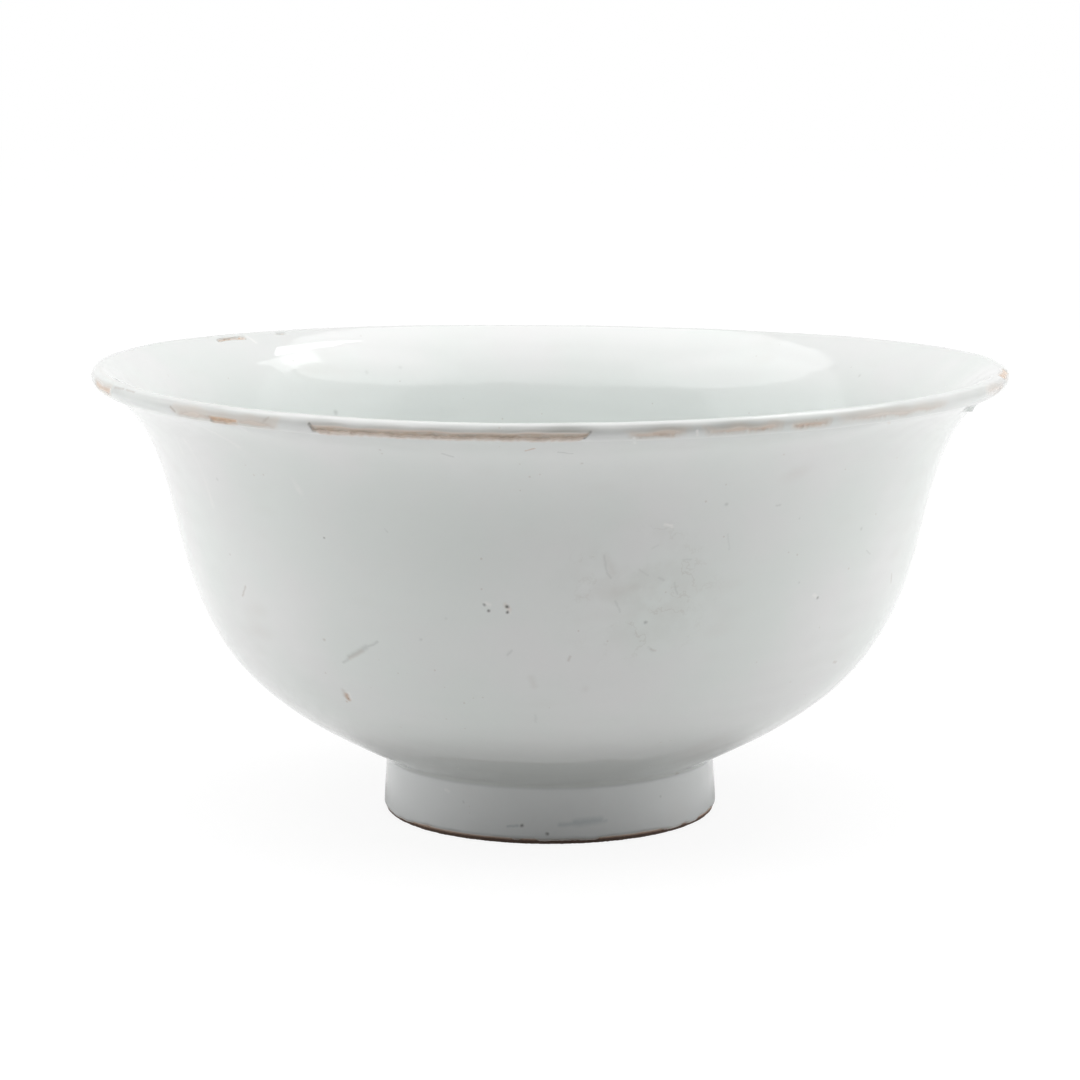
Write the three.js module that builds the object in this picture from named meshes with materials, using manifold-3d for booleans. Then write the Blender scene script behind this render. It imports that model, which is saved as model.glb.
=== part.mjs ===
// A footed bowl of white tin-glazed earthenware with a flared rim.
// The clay is two members: a thrown bowl, and a foot ring luted under it with slip. Glaze coats all of it
// apart from the foot ring's lower edge, and has flaked off the lip in a few places.
// Millimetres, +Z up. The origin is the centre of the foot ring's resting face, and -Y is the front.
import * as THREE from "three";
import { mergeVertices } from "three/addons/utils/BufferGeometryUtils.js";
import Module from "manifold-3d";

// The bowl over its glaze
const RIM_DIAMETER = 250;
const BOWL_HEIGHT = 124.5;
const LIP_THICKNESS = 4.9;
const WALL_AT_FOOT = 8;
const WELL_HEIGHT = 17.5; // from the table to the bowl's floor, at its centre

// The outline of the wall: belly from the foot to the neck, then flare from the neck to the lip
const BELLY_RISE = 25.7; // slope in degrees above level
const NECK_RISE = 77.5;
const LIP_RISE = 27.4;
const NECK_INSET = 22.6; // from the rim's widest line in to the neck
const NECK_DROP = 43.5; // from the rim's top down to the neck
const BELLY_PULL = 43.3; // how far the belly keeps the slope that it leaves the foot with
const NECK_PULL_BELOW = 34.2;
const NECK_PULL_ABOVE = 23.2;
const LIP_PULL = 14.3;

// The foot ring
const FOOT_JOIN_DIAMETER = 91; // over the glaze, at the crease where the wall springs
const FOOT_BASE_DIAMETER = 93; // over the glaze, at its lower edge
const FOOT_HEIGHT = 16; // from the table to the crease
const RECESS_DIAMETER = 77; // of bare clay, inside the ring
const RECESS_HEIGHT = 9; // from the table to the glaze under the floor, at its centre
const FOOT_BEVEL = 1.2;
const BARE_EDGE = 1.8; // height of the clay that the glazer wiped clean

const GLAZE = 0.6; // depth of every coat
const SLIP = 0.6; // depth of the luting slip between the ring and the bowl
const FIT = 0.02; // left between two members that meet face to face

// Where the glaze has flaked off the lip: degrees from +X towards +Y, and depths below the rim's top
const LIP_LOSSES = [
  { from: -118.6, to: -85.6, top: 2.9, bottom: 5.2 }, // the longest, at the front
  { from: -81.4, to: -74.4, top: 3.3, bottom: 5.2 },
  { from: -72.6, to: -56.6, top: 3.1, bottom: 5.2 },
  { from: -17, to: 4, top: 2.8, bottom: 5.2 },
  { from: -140, to: -124.5, top: 3.0, bottom: 5.2 },
  { from: -176, to: -157, top: 2.8, bottom: 5.2 },
  { from: 137.9, to: 143.5, top: -1, bottom: 0.7 }, // over the crest, at the far side
];
const LOSS_REACH = 6; // how far a loss is cut to either side of the rim's widest line

// Facets
const TURN_SEGMENTS = 48;
const BELLY_SPANS = 9;
const FLARE_SPANS = 5;
const LIP_SPANS = 5;
const WELL_SPANS = 4;
const DOME_SPANS = 3;
const LOSS_SPANS = 6;

const RIM_RADIUS = RIM_DIAMETER / 2;
const LIP_RADIUS = LIP_THICKNESS / 2;
const RECESS_RADIUS = RECESS_DIAMETER / 2;

const radians = THREE.MathUtils.degToRad;
const at = (r, z) => new THREE.Vector2(r, z);
const rising = (degrees) => at(Math.cos(radians(degrees)), Math.sin(radians(degrees)));
const moved = (point, direction, distance) => point.clone().addScaledVector(direction, distance);
// The left of a line of travel. The clay is on the left, going up the outside or out under the floor.
const leftOf = (travel) => at(-travel.y, travel.x);

// The lip is half round: its centre is half its thickness in from the rim's widest line and top.
const lipCentre = at(RIM_RADIUS - LIP_RADIUS, BOWL_HEIGHT - LIP_RADIUS);
const lipStart = moved(lipCentre, leftOf(rising(LIP_RISE)), -LIP_RADIUS);
const neck = at(RIM_RADIUS - NECK_INSET, BOWL_HEIGHT - NECK_DROP);
const join = at(FOOT_JOIN_DIAMETER / 2, FOOT_HEIGHT);

const belly = new THREE.CubicBezierCurve(
  join,
  moved(join, rising(BELLY_RISE), BELLY_PULL),
  moved(neck, rising(NECK_RISE), -NECK_PULL_BELOW),
  neck,
);
const flare = new THREE.CubicBezierCurve(
  neck,
  moved(neck, rising(NECK_RISE), NECK_PULL_ABOVE),
  moved(lipStart, rising(LIP_RISE), -LIP_PULL),
  lipStart,
);

// A curve that leaves the axis level and climbs to meet a slope: its pull is where the two lines cross.
function curveFromAxis(height, end, rise) {
  const crossing = at(end.x - (end.y - height) / Math.tan(radians(rise)), height);
  return new THREE.QuadraticBezierCurve(at(0, height), crossing, end);
}

// Points of a curve with the direction of travel at each, in steps of one span.
function stepsAlong(curve, spans) {
  return Array.from({ length: spans + 1 }, (_, i) => ({
    point: curve.getPoint(i / spans),
    travel: curve.getTangent(i / spans),
  }));
}

// A station is a point of the glaze's skin and the point of the clay under it.
const station = (skin, clay) => ({ skin, clay });
const skins = (stations) => stations.map((s) => s.skin);
const clays = (stations) => stations.map((s) => s.clay);
const bonds = (stations) => stations.map((s) => s.clay.clone().lerp(s.skin, FIT / GLAZE));

// The wall's two faces, each from the foot up. The wall thins step by step from the foot to the lip.
function wallStations() {
  const steps = [...stepsAlong(belly, BELLY_SPANS), ...stepsAlong(flare, FLARE_SPANS).slice(1)];
  const outside = [];
  const inside = [];
  steps.forEach(({ point, travel }, i) => {
    const inwards = leftOf(travel);
    const thickness = THREE.MathUtils.lerp(WALL_AT_FOOT, LIP_THICKNESS, i / (steps.length - 1));
    outside.push(station(point, moved(point, inwards, GLAZE)));
    inside.push(station(moved(point, inwards, thickness), moved(point, inwards, thickness - GLAZE)));
  });
  return { outside, inside };
}

// The half round between the two faces of the wall, without its ends.
function lipStations() {
  return Array.from({ length: LIP_SPANS - 1 }, (_, i) => {
    const outwards = rising(LIP_RISE - 90 + (180 * (i + 1)) / LIP_SPANS);
    return station(moved(lipCentre, outwards, LIP_RADIUS), moved(lipCentre, outwards, LIP_RADIUS - GLAZE));
  });
}

// The bowl's floor, from the axis out to where the wall's lowest station stands.
function wellStations(wallFoot) {
  const steps = stepsAlong(curveFromAxis(WELL_HEIGHT, wallFoot, BELLY_RISE), WELL_SPANS).slice(0, -1);
  const stations = steps.map(({ point, travel }) => station(point, moved(point, leftOf(travel), -GLAZE)));
  stations[0].clay.x = 0;
  return stations;
}

const wall = wallStations();
const lip = [wall.outside.at(-1), ...lipStations(), wall.inside.at(-1)];
const interior = [...wall.inside.toReversed(), ...wellStations(wall.inside[0].skin).reverse()];

// The underside: the ring's seat keeps the slope of the belly, and a dome runs from it to the axis.
const joinClay = wall.outside[0].clay;
const onSeat = (radius) => at(radius, joinClay.y + (radius - joinClay.x) * Math.tan(radians(BELLY_RISE)));
const seatOuter = onSeat(join.x - GLAZE);
const seatInner = onSeat(RECESS_RADIUS);
const underSlip = (point) => at(point.x, point.y - SLIP);
const domeSteps = stepsAlong(curveFromAxis(RECESS_HEIGHT + GLAZE, seatInner, BELLY_RISE), DOME_SPANS);

// The glazed recess: the dome, the corner under the ring's seat, then down to the ring's bare edge.
function recessStations() {
  const dome = domeSteps
    .slice(0, -1)
    .map(({ point, travel }) => station(moved(point, leftOf(travel), -GLAZE), point));
  dome[0].skin.x = 0;
  const seatSlope = radians(BELLY_RISE);
  const cornerDrop = GLAZE * (Math.tan(seatSlope) + 1 / Math.cos(seatSlope));
  return [
    ...dome,
    station(at(RECESS_RADIUS - GLAZE, seatInner.y - cornerDrop), seatInner),
    station(at(RECESS_RADIUS - GLAZE, BARE_EDGE), at(RECESS_RADIUS, BARE_EDGE)),
  ];
}

// A loop of points, anticlockwise with r to the right and z up, turned about the Z axis.
// A loop with an edge on the axis is opened there, and any other is closed.
function turned(loop) {
  const edgeOnAxis = loop.findIndex((p, i) => p.x === 0 && loop[(i + 1) % loop.length].x === 0);
  const start = edgeOnAxis + 1;
  const profile = [...loop.slice(start), ...loop.slice(0, start)];
  if (edgeOnAxis < 0) profile.push(profile[0]);
  return new THREE.LatheGeometry(profile, TURN_SEGMENTS).rotateX(Math.PI / 2);
}

const coat = (stations) => turned([...skins(stations), ...bonds(stations).reverse()]);

function thrownBody() {
  const underside = domeSteps.map(({ point }) => point);
  const lipClay = clays(lip).slice(1, -1);
  return turned([...underside, seatOuter, ...clays(wall.outside), ...lipClay, ...clays(interior)]);
}

const glazeLineClay = at(FOOT_BASE_DIAMETER / 2 - GLAZE, BARE_EDGE);

function footRing() {
  return turned([
    at(RECESS_RADIUS + FOOT_BEVEL, 0),
    at(glazeLineClay.x - FOOT_BEVEL, 0),
    at(glazeLineClay.x, FOOT_BEVEL),
    glazeLineClay,
    underSlip(seatOuter),
    underSlip(seatInner),
    at(RECESS_RADIUS, BARE_EDGE),
    at(RECESS_RADIUS, FOOT_BEVEL),
  ]);
}

function lutingSlip() {
  const bottom = [seatInner, seatOuter].map((p) => at(p.x, underSlip(p).y + FIT));
  const top = [seatOuter, seatInner].map((p) => at(p.x, p.y - FIT));
  return turned([...bottom, ...top]);
}

function footGlaze() {
  const bond = [seatOuter, underSlip(seatOuter), glazeLineClay].map((p) => at(p.x + FIT, p.y));
  return turned([at(FOOT_BASE_DIAMETER / 2, BARE_EDGE), join, bonds(wall.outside)[0], ...bond]);
}

const wasm = await Module();
wasm.setup();

function solidFrom(geometry) {
  const bare = geometry.clone();
  bare.deleteAttribute("normal");
  bare.deleteAttribute("uv");
  const merged = mergeVertices(bare);
  return new wasm.Manifold(
    new wasm.Mesh({
      numProp: 3,
      vertProperties: new Float32Array(merged.attributes.position.array),
      triVerts: new Uint32Array(merged.index.array),
    }),
  );
}

function geometryFrom(solid) {
  const mesh = solid.getMesh();
  const geometry = new THREE.BufferGeometry();
  geometry.setAttribute("position", new THREE.BufferAttribute(mesh.vertProperties, 3));
  geometry.setIndex(new THREE.BufferAttribute(mesh.triVerts, 1));
  geometry.computeVertexNormals();
  return geometry;
}

// A slice of a ring, over the stretch of lip that a loss takes.
function lossBlock({ from, to, top, bottom }) {
  const slice = new THREE.Shape();
  slice.absarc(0, 0, RIM_RADIUS + LOSS_REACH, radians(from), radians(to), false);
  slice.absarc(0, 0, RIM_RADIUS - LOSS_REACH, radians(to), radians(from), true);
  const settings = { depth: bottom - top, bevelEnabled: false, curveSegments: LOSS_SPANS };
  return new THREE.ExtrudeGeometry(slice, settings).translate(0, 0, BOWL_HEIGHT - bottom);
}

function lipGlaze() {
  const blocks = LIP_LOSSES.map((loss) => solidFrom(lossBlock(loss)));
  return geometryFrom(blocks.reduce((rest, block) => rest.subtract(block), solidFrom(coat(lip))));
}

const clayMaterial = new THREE.MeshStandardMaterial({ color: 0xc79a72, roughness: 0.9, metalness: 0 });
const slipMaterial = new THREE.MeshStandardMaterial({ color: 0xb98a64, roughness: 0.95, metalness: 0 });
const glazeMaterial = new THREE.MeshStandardMaterial({ color: 0xe4e9e6, roughness: 0.12, metalness: 0 });

const bowl = new THREE.Group();

function addPiece(name, geometry, material) {
  const mesh = new THREE.Mesh(geometry, material.clone());
  mesh.name = name;
  bowl.add(mesh);
}

addPiece("thrown_body", thrownBody(), clayMaterial);
addPiece("foot_ring", footRing(), clayMaterial);
addPiece("luting_slip", lutingSlip(), slipMaterial);
addPiece("inside_glaze", coat(interior), glazeMaterial);
addPiece("outside_glaze", coat(wall.outside), glazeMaterial);
addPiece("lip_glaze", lipGlaze(), glazeMaterial);
addPiece("foot_glaze", footGlaze(), glazeMaterial);
addPiece("recess_glaze", coat(recessStations()), glazeMaterial);

export default bowl;
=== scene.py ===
# %% [markdown]
# # A footed bowl in white tin glaze
#
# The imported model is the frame: eight faceted solids of a wheel-thrown bowl, in metres, with its foot at
# z = 0 and its front at -Y. They are two members of clay, the slip that joins them, and a coat of glaze in
# five zones. This script gives each of them a finely turned surface of the same size in the same place, so
# that the glaze can lie unevenly, run, pit and flake off the lip.

# %% Load the frame
import math

import bpy
import numpy as np
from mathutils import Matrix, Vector


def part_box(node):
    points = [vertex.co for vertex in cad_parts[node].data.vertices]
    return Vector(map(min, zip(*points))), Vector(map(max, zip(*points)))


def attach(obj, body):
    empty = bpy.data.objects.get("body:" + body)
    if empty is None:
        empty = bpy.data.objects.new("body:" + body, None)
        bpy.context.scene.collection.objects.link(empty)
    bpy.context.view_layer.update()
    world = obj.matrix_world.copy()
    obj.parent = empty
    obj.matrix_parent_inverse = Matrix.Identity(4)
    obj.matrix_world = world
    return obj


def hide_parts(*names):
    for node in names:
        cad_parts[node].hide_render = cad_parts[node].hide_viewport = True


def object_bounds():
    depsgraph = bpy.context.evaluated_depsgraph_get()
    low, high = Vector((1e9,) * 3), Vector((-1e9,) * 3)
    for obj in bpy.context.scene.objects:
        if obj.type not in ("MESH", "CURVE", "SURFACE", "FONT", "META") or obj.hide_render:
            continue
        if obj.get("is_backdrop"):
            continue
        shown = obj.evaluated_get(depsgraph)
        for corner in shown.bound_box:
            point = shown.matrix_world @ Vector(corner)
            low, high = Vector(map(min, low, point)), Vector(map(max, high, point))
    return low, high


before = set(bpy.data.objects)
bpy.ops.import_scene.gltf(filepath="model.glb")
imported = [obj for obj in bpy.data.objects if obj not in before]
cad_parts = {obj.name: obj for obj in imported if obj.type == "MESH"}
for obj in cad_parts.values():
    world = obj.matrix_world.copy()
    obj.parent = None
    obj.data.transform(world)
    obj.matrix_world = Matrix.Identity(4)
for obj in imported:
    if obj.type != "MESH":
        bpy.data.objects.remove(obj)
cad_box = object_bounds()
print("solids in the frame:", sorted(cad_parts))

# %% [markdown]
# ## Sizes
#
# A bowl is read from its outline, so the sizes are the ones a potter would take with callipers: the rim,
# the neck where the wall stands steepest, the foot, and the slope of the wall at each. They are written in
# millimetres and become metres only when a mesh is made. The rim height is the mean, because the kiln has
# warped the rim a little.

# %% Sizes of the bowl in millimetres and degrees
MM = 0.001
RIM_RADIUS = 125.0
RIM_HEIGHT = 123.9
LIP_THICKNESS = 4.9
WALL_AT_FOOT = 8.0
WELL_HEIGHT = 17.5
BELLY_RISE, NECK_RISE, LIP_RISE = 25.7, 77.5, 27.4
NECK_INSET, NECK_DROP = 22.6, 43.0
BELLY_PULL, NECK_PULL_BELOW, NECK_PULL_ABOVE, LIP_PULL = 43.3, 34.2, 23.2, 14.3
FOOT_HEIGHT = 16.0
FOOT_JOIN_RADIUS, FOOT_BASE_RADIUS, RECESS_RADIUS = 45.5, 46.5, 38.5
RECESS_HEIGHT = 9.0
EDGE_ROUND = 1.2
CREASE_ROUND = 1.7
GLAZE, SLIP = 0.6, 0.6
BARE_EDGE = 1.35

rim_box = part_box("lip_glaze")
print("rim radius in the frame %.2f mm, here %.2f mm" % (rim_box[1].x / MM, RIM_RADIUS))

# %% [markdown]
# ## The outline
#
# A thrown pot is one line turned about an axis. The line here is the surface of the clay, taken all the way
# round: from the axis under the floor, down inside the foot ring, across the resting face, up the outside,
# over the lip and down to the middle of the well. The clay is always on the left of the line's travel.
# Every piece is a stretch of this one line, so neighbours meet exactly. Smooth stretches are cubic curves,
# and a short cubic rounds each corner, which is what a wet sponge does to clay.

# %% Curves and steps aside
def rising(degrees):
    return np.array([math.cos(math.radians(degrees)), math.sin(math.radians(degrees))])


def unit(vectors):
    return vectors / np.linalg.norm(vectors, axis=-1, keepdims=True)


def cubic(a, b, c, d, steps=160):
    """Each point is the four controls weighted by (1-t)^3, 3t(1-t)^2, 3t^2(1-t) and t^3."""
    t = np.linspace(0, 1, steps)[:, None]
    return (1 - t) ** 3 * a + 3 * t * (1 - t) ** 2 * b + 3 * t**2 * (1 - t) * c + t**3 * d


def running_length(points):
    return np.concatenate([[0], np.cumsum(np.linalg.norm(np.diff(points, axis=0), axis=1))])


def straight(a, b):
    return np.linspace(a, b, 40)


def off_clay(points, distance):
    """Points moved to the right of their travel, which is away from the clay: (dr, dz) turns to (dz, -dr)."""
    travel = unit(np.gradient(points, axis=0))
    return points + np.column_stack([travel[:, 1], -travel[:, 0]]) * distance


def eased(low, high, x):
    """0 below low, 1 above high, and 3t^2 - 2t^3 between."""
    t = np.clip((x - low) / (high - low), 0, 1)
    return t * t * (3 - 2 * t)


# %% The wall, from its outside skin
lip_centre = np.array([RIM_RADIUS, RIM_HEIGHT]) - LIP_THICKNESS / 2
neck = np.array([RIM_RADIUS - NECK_INSET, RIM_HEIGHT - NECK_DROP])
crease = np.array([FOOT_JOIN_RADIUS, FOOT_HEIGHT])
lip_start = lip_centre + rising(LIP_RISE - 90) * LIP_THICKNESS / 2

belly = cubic(crease, crease + rising(BELLY_RISE) * BELLY_PULL,
              neck - rising(NECK_RISE) * NECK_PULL_BELOW, neck)
flare = cubic(neck, neck + rising(NECK_RISE) * NECK_PULL_ABOVE,
              lip_start - rising(LIP_RISE) * LIP_PULL, lip_start)
outside_skin = np.vstack([belly, flare[1:]])
climb = running_length(outside_skin)
thickness = WALL_AT_FOOT + (LIP_THICKNESS - WALL_AT_FOOT) * eased(0, climb[-1], climb)[:, None]
outside_clay = off_clay(outside_skin, -GLAZE)
inside_clay = off_clay(outside_skin, GLAZE - thickness)[::-1]
print("wall from crease to lip: %.1f mm" % climb[-1])

# %% The lip, the well, the recess and the foot
def bend(before, after, share=0.4):
    """A cubic that leaves the end of one stretch and joins the start of the next without a corner."""
    a, d = before[-1], after[0]
    pull = np.linalg.norm(d - a) * share
    return cubic(a, a + unit(before[-1] - before[-2]) * pull, d - unit(after[1] - after[0]) * pull, d, 40)


def from_axis(height, end, rise):
    """A curve that leaves the axis level and meets a slope, bowed towards where the two lines cross."""
    crossing = np.array([end[0] - (end[1] - height) / math.tan(math.radians(rise)), height])
    start = np.array([0.0, height])
    return cubic(start, start + (crossing - start) * 2 / 3, end + (crossing - end) * 2 / 3, end)


half_turn = np.radians(np.linspace(LIP_RISE - 90, LIP_RISE + 90, 80))[:, None]
lip_clay = lip_centre + (LIP_THICKNESS / 2 - GLAZE) * np.hstack([np.cos(half_turn), np.sin(half_turn)])
well_clay = from_axis(WELL_HEIGHT - GLAZE, inside_clay[-1], BELLY_RISE)[::-1]

seat_slope = rising(BELLY_RISE) / rising(BELLY_RISE)[0]
base_clay = np.array([FOOT_BASE_RADIUS - GLAZE, 0])
seat_outer = outside_clay[0] + seat_slope * (FOOT_JOIN_RADIUS - GLAZE - outside_clay[0][0])
seat_inner = seat_outer + seat_slope * (RECESS_RADIUS - seat_outer[0])
dome = from_axis(RECESS_HEIGHT + GLAZE, seat_inner - rising(BELLY_RISE) * CREASE_ROUND, BELLY_RISE)
inner_wall = straight(seat_inner - [0, CREASE_ROUND], np.array([RECESS_RADIUS, EDGE_ROUND]))
resting = straight(np.array([RECESS_RADIUS + EDGE_ROUND, 0]), base_clay - [EDGE_ROUND, 0])
up_foot = unit(seat_outer - base_clay)
outer_wall = straight(base_clay + up_foot * EDGE_ROUND, seat_outer - up_foot * CREASE_ROUND)
belly_clay = outside_clay[climb > CREASE_ROUND]

# %% One line all round, and where its stretches end
stretches = {
    "dome": dome, "recess corner": bend(dome, inner_wall), "inner wall": inner_wall,
    "inner edge": bend(inner_wall, resting), "resting face": resting,
    "outer edge": bend(resting, outer_wall), "outer wall": outer_wall,
    "crease": bend(outer_wall, belly_clay), "wall": belly_clay, "lip": lip_clay,
    "inside": inside_clay, "well": well_clay,
}
line = np.vstack(list(stretches.values()))
run = running_length(line)
ends = dict(zip(stretches, run[np.cumsum([len(points) for points in stretches.values()]) - 1]))
run, kept = np.unique(run.round(6), return_index=True)
line = line[kept]

steps_along = np.linspace(0, run[-1], 4000)
r_line = np.interp(steps_along, run, line[:, 0])
z_line = np.interp(steps_along, run, line[:, 1])
travel = unit(np.column_stack([np.gradient(r_line), np.gradient(z_line)]))
print("outline: %.1f mm in %d stretches" % (run[-1], len(stretches)))


def outline(s):
    """Radius, height and the direction off the clay, at distance s along the line."""
    columns = (r_line, z_line, travel[:, 1], -travel[:, 0])
    return [np.interp(s, steps_along, column) for column in columns]


# %% Landmarks on the line, and stations along it
def level_on(stretch, height):
    """Where a stretch that climbs or falls all the way passes a height, as a distance along the line."""
    names = list(stretches)
    s = np.linspace(ends[names[names.index(stretch) - 1]], ends[stretch], 400)
    z = outline(s)[1]
    order = np.argsort(z)
    return float(np.interp(height, z[order], s[order]))


AXIS_BELOW, AXIS_ABOVE = 0.0, float(run[-1])
inner_line = level_on("inner wall", BARE_EDGE)
outer_line = level_on("outer wall", BARE_EDGE)
crease_line = (ends["outer wall"] + ends["crease"]) / 2
LIP_FROM, LIP_TO = ends["wall"], ends["lip"]
crest = LIP_FROM + (LIP_TO - LIP_FROM) * (180 - LIP_RISE) / 180
print("glaze lines at %.1f and %.1f mm, crease %.1f, lip %.1f to %.1f, crest %.1f, well %.1f"
      % (inner_line, outer_line, crease_line, LIP_FROM, LIP_TO, crest, AXIS_ABOVE))


def crowded(low, high, count, density):
    """Stations whose spacing is the inverse of a density: equal shares of its running total."""
    fine = np.linspace(low, high, 20000)
    total = np.concatenate([[0], np.cumsum(density(fine)[1:])])
    return np.interp(np.linspace(0, total[-1], count), total, fine)


def full_turn(count):
    return np.linspace(-math.pi, math.pi, count, endpoint=False)


# %% [markdown]
# ## From line to surface
#
# A point of the pot needs two numbers: the distance s along the line and the turn theta about the axis. A
# third, the lift, says how far it stands off the clay. Everything that makes the pot look handled is a
# change of lift: glaze is a lift of about 0.6 mm, and a flake is a stretch where the lift falls below zero.
# The normals come from the same function, by small differences, so two pieces that share an edge also share
# its shading.

# %% The kiln's warp, soft mottling, and points of the pot
WARP_BACK, WARP_OVAL, WARP_RIGHT, WARP_SKEW = -0.32, 0.88, -0.33, -0.40


def warp(z, theta):
    """Lift of the wall in the kiln: one and two waves to the turn, growing with the square of the height."""
    share = np.clip((z - FOOT_HEIGHT) / (RIM_HEIGHT - FOOT_HEIGHT), 0, 1.05) ** 2
    once = WARP_BACK * np.sin(theta) + WARP_RIGHT * np.cos(theta)
    twice = WARP_OVAL * np.cos(2 * theta) + WARP_SKEW * np.sin(2 * theta)
    return share * (once + twice)


def mottle(s, theta, size, seed, waves=14):
    """Soft relief between about -1 and 1: the sum of waves cos(k . p + phase) in random directions."""
    random = np.random.default_rng(seed)
    k = unit(random.normal(size=(waves, 3))) * (2 * math.pi / size) * random.uniform(0.7, 1.3, (waves, 1))
    phase = random.uniform(0, 2 * math.pi, waves)
    r, z, _, _ = outline(s)
    x, y = r * np.cos(theta), r * np.sin(theta)
    total = sum(np.cos(kx * x + ky * y + kz * z + p) for (kx, ky, kz), p in zip(k, phase))
    return total / math.sqrt(waves / 2)


def pot_points(s, theta, lift):
    """x = (r + lift n_r) cos theta, y = (r + lift n_r) sin theta, z = z + lift n_z + warp."""
    r, z, away_r, away_z = outline(s)
    radius, height = r + away_r * lift, z + away_z * lift
    height = height + warp(height, theta)
    return np.stack([radius * np.cos(theta), radius * np.sin(theta), height], -1)


NUDGE = 0.05


def band(s, theta, lift):
    """Points and normals where s, a column, meets theta, a row. The normal is around x along."""
    s, theta = s[:, None], theta[None, :]
    turn = NUDGE / RIM_RADIUS

    def at(s, theta):
        return pot_points(s, theta, lift(s, theta))

    along = at(s + NUDGE, theta) - at(s - NUDGE, theta)
    around = at(s, theta + turn) - at(s, theta - turn)
    points, normal = at(s, theta), np.cross(around, along)
    normal[np.hypot(points[..., 0], points[..., 1]) < NUDGE] = (0, 0, -1 if s.mean() < ends["crease"] else 1)
    return points, unit(normal)


# %% [markdown]
# ## Where the glaze has flaked
#
# Tin glaze lets go along the lip first, where the curve is tightest and the bowl is knocked. Each loss is a
# patch, measured round the turn in degrees, from +X towards the back, and down from the crest in
# millimetres. Use has thinned the glaze from the crest downwards, so a patch fades in from its upper edge,
# and its lower edge is the glaze's own broken edge. Its ends slant and its corners are round, because a
# flake lifts along a curved crack. Only the long flake and the chips are sharp and go down to the clay, or
# nearly. The others are bruises: the glaze is worn down under soft edges and stained tan or rusty, but some
# of it is still there. Between them the whole lip is greyed, partly from handling and partly as painted
# shade, which darkens a band under the crest's highlight and dims the crest.

# %% The losses along the lip
# Columns: begin and end in degrees, upper and lower edge in mm, slant of the ends, share of the way down that
# is fully worn, how far the wear goes (1 bares the clay), how rusty it is, and the width of its edge in mm
LOSSES = {
    "long flake at the front": (-118.3, -84.8, 2.8, 5.3, 0.75, 0.32, 1.0, 0.25, 0.34),
    "short flake beside it": (-82.2, -73.8, 2.8, 5.4, 0.5, 0.5, 0.45, 0.65, 1.0),
    "flake at the front right": (-73.4, -62.2, 2.6, 5.4, 0.5, 0.4, 0.48, 0.65, 1.0),
    "two bruises beside it": (-62.8, -56.0, 2.8, 5.2, 0.4, 0.4, 0.48, 0.75, 0.9),
    "sliver further right": (-56.5, -35.5, 1.8, 5.2, 0.4, 0.3, 0.35, 0.33, 1.2),
    "rusty chip at the right end": (-15.5, -6.5, 0.2, 2.6, 0.4, 0.6, 0.72, 0.5, 0.35),
    "worn edge before it": (-26.0, -16.0, 2.2, 4.4, 0.5, 0.2, 0.4, 0.4, 0.9),
    "flake at the front left": (-140.0, -121.0, 2.2, 5.9, 0.5, 0.3, 0.42, 0.5, 1.0),
    "rusty oval in it": (-133.2, -127.2, 3.3, 6.0, 0.3, 0.6, 0.8, 1.0, 0.6),
    "worn left end": (-166.0, -155.2, 1.8, 5.0, 0.6, 0.4, 0.62, 0.5, 0.8),
    "chip inside the crest, back left": (138.9, 145.2, -5.0, -2.3, 0.3, 0.3, 0.92, 0.8, 0.4),
    "second chip there": (131.2, 133.6, -3.6, -2.0, 0.2, 0.3, 0.62, 0.2, 0.4),
    "small flake at the back": (61.0, 66.5, 2.6, 4.8, 0.8, 0.4, 1.0, 0.4, 0.24),
    "worn edge at the back": (96.0, 104.0, 2.4, 4.4, 0.6, 0.2, 0.6, 0.2, 0.7),
}
RAGGED, CORNER = 0.14, 0.6  # mm that the broken edges waver, and mm that the corners of a loss are rounded
BURIED = -0.15              # the lift of a glaze that is gone, which puts it under the clay


def even(s, theta, value=0.0):
    return np.full(np.broadcast_shapes(s.shape, theta.shape), value)


def over_lip(s):
    """Millimetres from the crest over the glaze, positive down the outside."""
    return (crest - s) * LIP_THICKNESS / (LIP_THICKNESS - 2 * GLAZE)


def patches(s, theta):
    """For each loss, in mm: the way down from its upper edge, up from its lower edge and in from its ends,
    and how far down it fades in. Then its wear, rust and width of edge."""
    across = over_lip(s)
    sway = 0.12 * mottle(s, theta, 9.0, 30)
    ragged = RAGGED * (mottle(s, theta, 6.0, 31) + 0.6 * mottle(s, theta, 1.7, 32))
    for begin, end, upper, lower, slant, bare, wear, rust, edge in LOSSES.values():
        ends_in = np.minimum(theta - math.radians(begin), math.radians(end) - theta) * RIM_RADIUS
        bow = ((2 * across - upper - lower) / (lower - upper)) ** 2
        ends_in = ends_in - slant * (across - upper) - CORNER * bow + 2 * ragged
        down, up = across - upper + (0.5 + 2 * edge) * sway, lower - across + ragged
        yield down, up, ends_in, (1 - bare) * (lower - upper), wear, rust, edge


def flaked(s, theta):
    """0 on whole glaze, 1 where it is gone: worn away downwards, broken off at the lower edge and ends."""
    gone = even(s, theta)
    for down, up, ends_in, fading, wear, _, edge in patches(s, theta):
        broken = eased(0, edge, up) * eased(0, edge + 4 * edge**2, ends_in)
        gone = np.maximum(gone, wear * eased(0, fading, down) * broken)
    return gone


def grimed(s, theta):
    """Dirt and painted shade in the corner at the foot of the lower break: a patchy bell, 0.45 mm in,
    wider where the edge is soft.
    """
    patchy = np.clip(0.55 + 0.45 * mottle(s, theta, 4.0, 33), 0, 1)
    dirt = np.zeros_like(patchy)
    for down, up, ends_in, _, wear, _, edge in patches(s, theta):
        within = eased(0, 0.3, ends_in) * eased(0.4, 1.4, down)
        dirt = np.maximum(dirt, wear**3 * np.exp(-((up - 0.45) / (0.2 + edge / 2)) ** 2) * within)
    return dirt * patchy


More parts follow.
